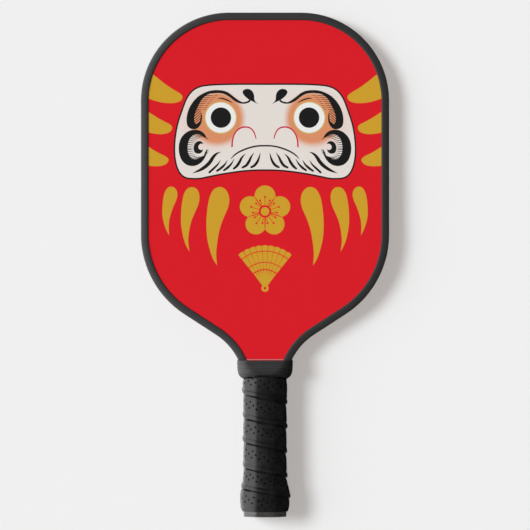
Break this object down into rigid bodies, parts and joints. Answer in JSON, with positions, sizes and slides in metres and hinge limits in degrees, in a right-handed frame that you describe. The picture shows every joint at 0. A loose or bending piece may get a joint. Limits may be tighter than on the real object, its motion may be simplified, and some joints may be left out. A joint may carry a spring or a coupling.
{
  "type": "pickleball paddle",
  "caption": "Wide-body pickleball paddle with a printed red face, a black edge guard, a wrapped eight-sided handle and a rubber throat collar.",
  "frame": {"origin": "middle of the footprint at the lowest point, with the paddle lying on its back", "axes": "+Y from the butt end to the top of the head, +X to the right of the printed front, +Z out of the front face"},
  "size_m": [0.197, 0.4, 0.0349],
  "materials": {
    "core": "natural polypropylene honeycomb",
    "fibreglass": "woven glass fibre in resin",
    "print": "satin printed film with a fine grain",
    "guard": "satin extruded plastic",
    "foam": "dense foam",
    "cap": "moulded plastic",
    "steel": "galvanised wire",
    "wrap": "matt cushioned polyurethane, perforated",
    "tape": "thin adhesive tape",
    "collar": "matt ribbed rubber"
  },
  "bodies": {
    "root": {"honeycomb_core": "core", "face_sheet_front": "fibreglass", "face_sheet_back": "fibreglass", "print_film_front": "print", "print_film_back": "print", "edge_guard": "guard", "handle_pallet_front": "foam", "handle_pallet_back": "foam", "butt_cap": "cap", "cap_staple_front": "steel", "cap_staple_back": "steel", "grip_wrap": "wrap", "finishing_tape": "tape", "grip_collar": "collar"}
  },
  "joints": []
}
